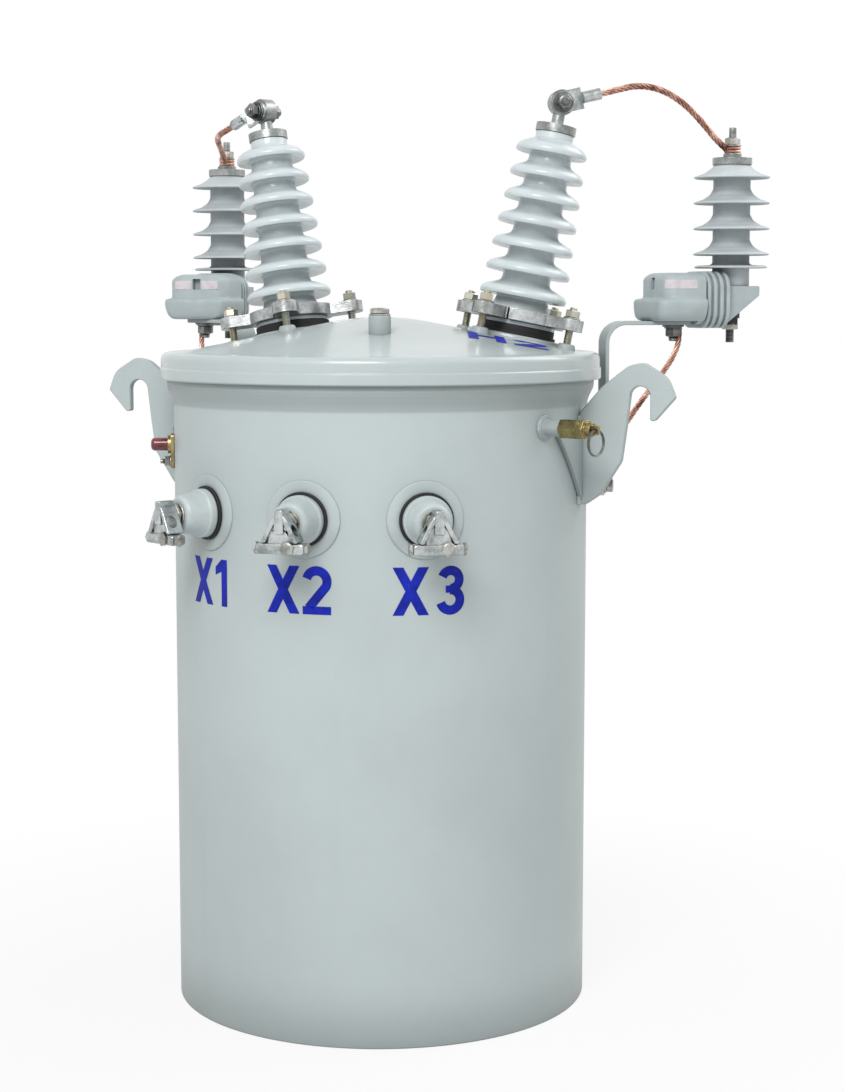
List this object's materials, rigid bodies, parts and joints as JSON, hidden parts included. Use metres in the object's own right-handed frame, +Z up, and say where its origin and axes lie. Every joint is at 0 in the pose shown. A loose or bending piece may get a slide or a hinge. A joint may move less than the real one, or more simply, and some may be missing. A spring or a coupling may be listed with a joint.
{
  "type": "pole mounted transformer",
  "caption": "Pole mounted single-phase distribution transformer: round tank, coned lid, leaning bushings, arresters on straps, hooks, rear pole brackets.",
  "frame": {"origin": "on the tank's axis, at the level of its lower edge", "axes": "+Z up along the tank's axis, low-voltage terminals towards -Y, pole brackets towards +Y"},
  "size_m": [0.7945, 0.6375, 1.1109],
  "materials": {
    "tank_paint": "satin pale grey-green enamel",
    "plug_paint": "satin pale grey-green enamel",
    "black_rubber": "matt nitrile rubber",
    "hv_glaze": "pale grey glaze",
    "cast_aluminium": "cast, matt",
    "tinned_metal": "tin plated",
    "copper_strand": "bare stranded copper",
    "grey_polymer": "matt silicone rubber",
    "arm_moulding": "moulded, matt",
    "black_moulding": "moulded, matt",
    "plated_steel": "zinc plated",
    "valve_brass": "machined",
    "dark_wire": "blackened wire",
    "red_lens": "red moulding",
    "lv_moulding": "moulded epoxy, satin"
  },
  "bodies": {
    "root": {"arrester_arm_left": "arm_moulding", "arrester_arm_right": "arm_moulding", "arrester_caps": "plated_steel", "arrester_disconnector_left": "black_moulding", "arrester_disconnector_right": "black_moulding", "arrester_left": "grey_polymer", "arrester_right": "grey_polymer", "arrester_strap_left": "tank_paint", "arrester_strap_right": "tank_paint", "cable_lug_left": "tinned_metal", "cable_lug_right": "tinned_metal", "earth_bosses": "plated_steel", "filler_plug": "plug_paint", "ground_lead_left": "copper_strand", "ground_lead_right": "copper_strand", "hv_bushing_left": "hv_glaze", "hv_bushing_right": "hv_glaze", "hv_clamp_left": "cast_aluminium", "hv_clamp_right": "cast_aluminium", "hv_gaskets": "black_rubber", "hv_jumper_left": "copper_strand", "hv_jumper_right": "copper_strand", "hv_terminal_left": "tinned_metal", "hv_terminal_right": "tinned_metal", "indicator_lens": "red_lens", "indicator_plate": "plated_steel", "lid": "tank_paint", "lid_gasket": "black_rubber", "lifting_lug_left": "tank_paint", "lifting_lug_right": "tank_paint", "lv_bushing_x1": "lv_moulding", "lv_bushing_x2": "lv_moulding", "lv_bushing_x3": "lv_moulding", "lv_gaskets": "black_rubber", "lv_terminal_x1": "tinned_metal", "lv_terminal_x2": "tinned_metal", "lv_terminal_x3": "tinned_metal", "pole_bracket_lower": "tank_paint", "pole_bracket_upper": "tank_paint", "relief_body": "valve_brass", "relief_nipple": "plated_steel", "relief_ring": "dark_wire", "tank_bottom": "tank_paint", "tank_wall": "tank_paint"}
  },
  "joints": []
}
